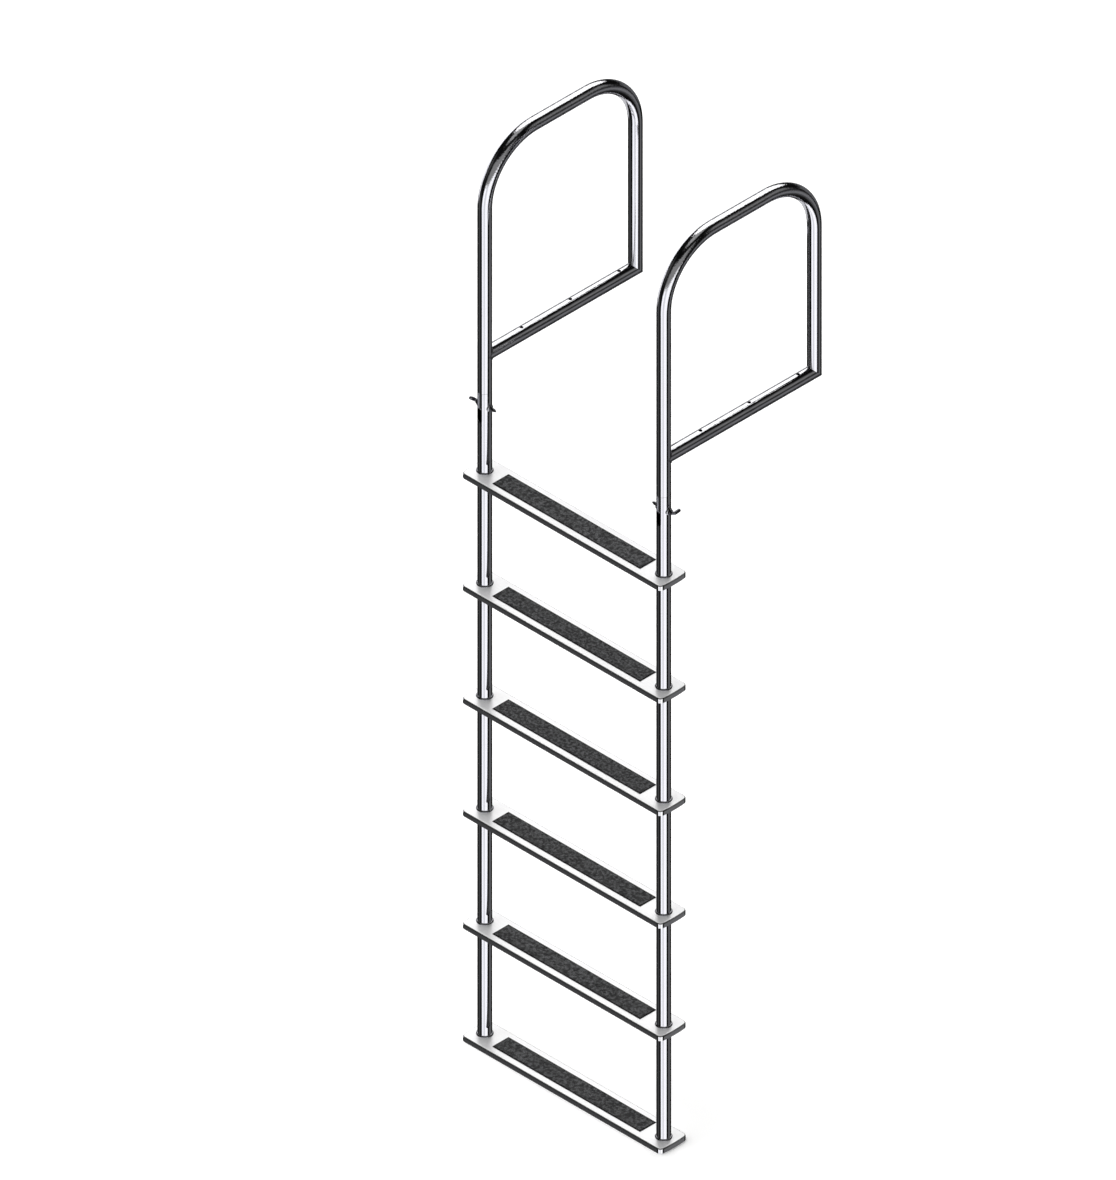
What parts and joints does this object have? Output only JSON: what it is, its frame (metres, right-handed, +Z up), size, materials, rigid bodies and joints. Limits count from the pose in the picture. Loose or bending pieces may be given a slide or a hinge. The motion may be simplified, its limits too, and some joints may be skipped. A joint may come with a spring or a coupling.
{
  "type": "boat boarding ladder",
  "caption": "Dock-mounted boarding ladder with hooped handrails, padded treads and a lower section that folds up on pull pins.",
  "frame": {"origin": "centre of the dock bolt pattern, on the deck plane that the two base rails lie on", "axes": "+Z up, +Y from the water towards the dock, +X along the treads"},
  "size_m": [0.603, 0.5082, 2.3143],
  "materials": {
    "polished_tube": "mirror-polished stainless steel tube",
    "pressed_tread": "polished stainless steel sheet",
    "turned_bar": "turned stainless steel bar",
    "weld": "cleaned stainless weld bead",
    "pin_rod": "drawn stainless rod",
    "hard_ball": "hardened polished ball",
    "spring_wire": "spring wire",
    "grip_pad": "fine-grained anti-slip pad"
  },
  "bodies": {
    "root": {"left_handrail": "polished_tube", "right_handrail": "polished_tube", "left_base_rail": "polished_tube", "right_base_rail": "polished_tube", "left_hinge_tongue": "turned_bar", "right_hinge_tongue": "turned_bar", "handrail_welds": "weld"},
    "ladder_section": {"left_stile": "polished_tube", "right_stile": "polished_tube", "pivot_bosses": "turned_bar", "tread_1": "pressed_tread", "tread_2": "pressed_tread", "tread_3": "pressed_tread", "tread_4": "pressed_tread", "tread_5": "pressed_tread", "tread_6": "pressed_tread", "tread_pad_1": "grip_pad", "tread_pad_2": "grip_pad", "tread_pad_3": "grip_pad", "tread_pad_4": "grip_pad", "tread_pad_5": "grip_pad", "tread_pad_6": "grip_pad", "tread_top_welds": "weld", "tread_under_welds": "weld"},
    "left_pin": {"left_pull_pin": "pin_rod", "left_detent_spring": "spring_wire"},
    "right_pin": {"right_pull_pin": "pin_rod", "right_detent_spring": "spring_wire"},
    "left_ball": {"left_detent_ball": "hard_ball"},
    "right_ball": {"right_detent_ball": "hard_ball"}
  },
  "joints": [
    {"name": "ladder_fold", "type": "hinge", "parent": "root", "child": "ladder_section", "pos_m": [0, -0.256, -0.11563], "axis": [-1, 0, 0], "range_deg": [0, 130]},
    {"name": "left_pin_pull", "type": "slide", "parent": "root", "child": "left_pin", "axis": [-1, 0, 0], "range_m": [0, 0.055]},
    {"name": "right_pin_pull", "type": "slide", "parent": "root", "child": "right_pin", "axis": [1, 0, 0], "range_m": [0, 0.055]},
    {"name": "left_ball_press", "type": "slide", "parent": "left_pin", "child": "left_ball", "axis": [0, 0, 1], "range_m": [0, 0.0009], "stiffness_N_per_m": 300, "springref_m": 0.0015},
    {"name": "right_ball_press", "type": "slide", "parent": "right_pin", "child": "right_ball", "axis": [0, 0, 1], "range_m": [0, 0.0009], "stiffness_N_per_m": 300, "springref_m": 0.0015}
  ]
}
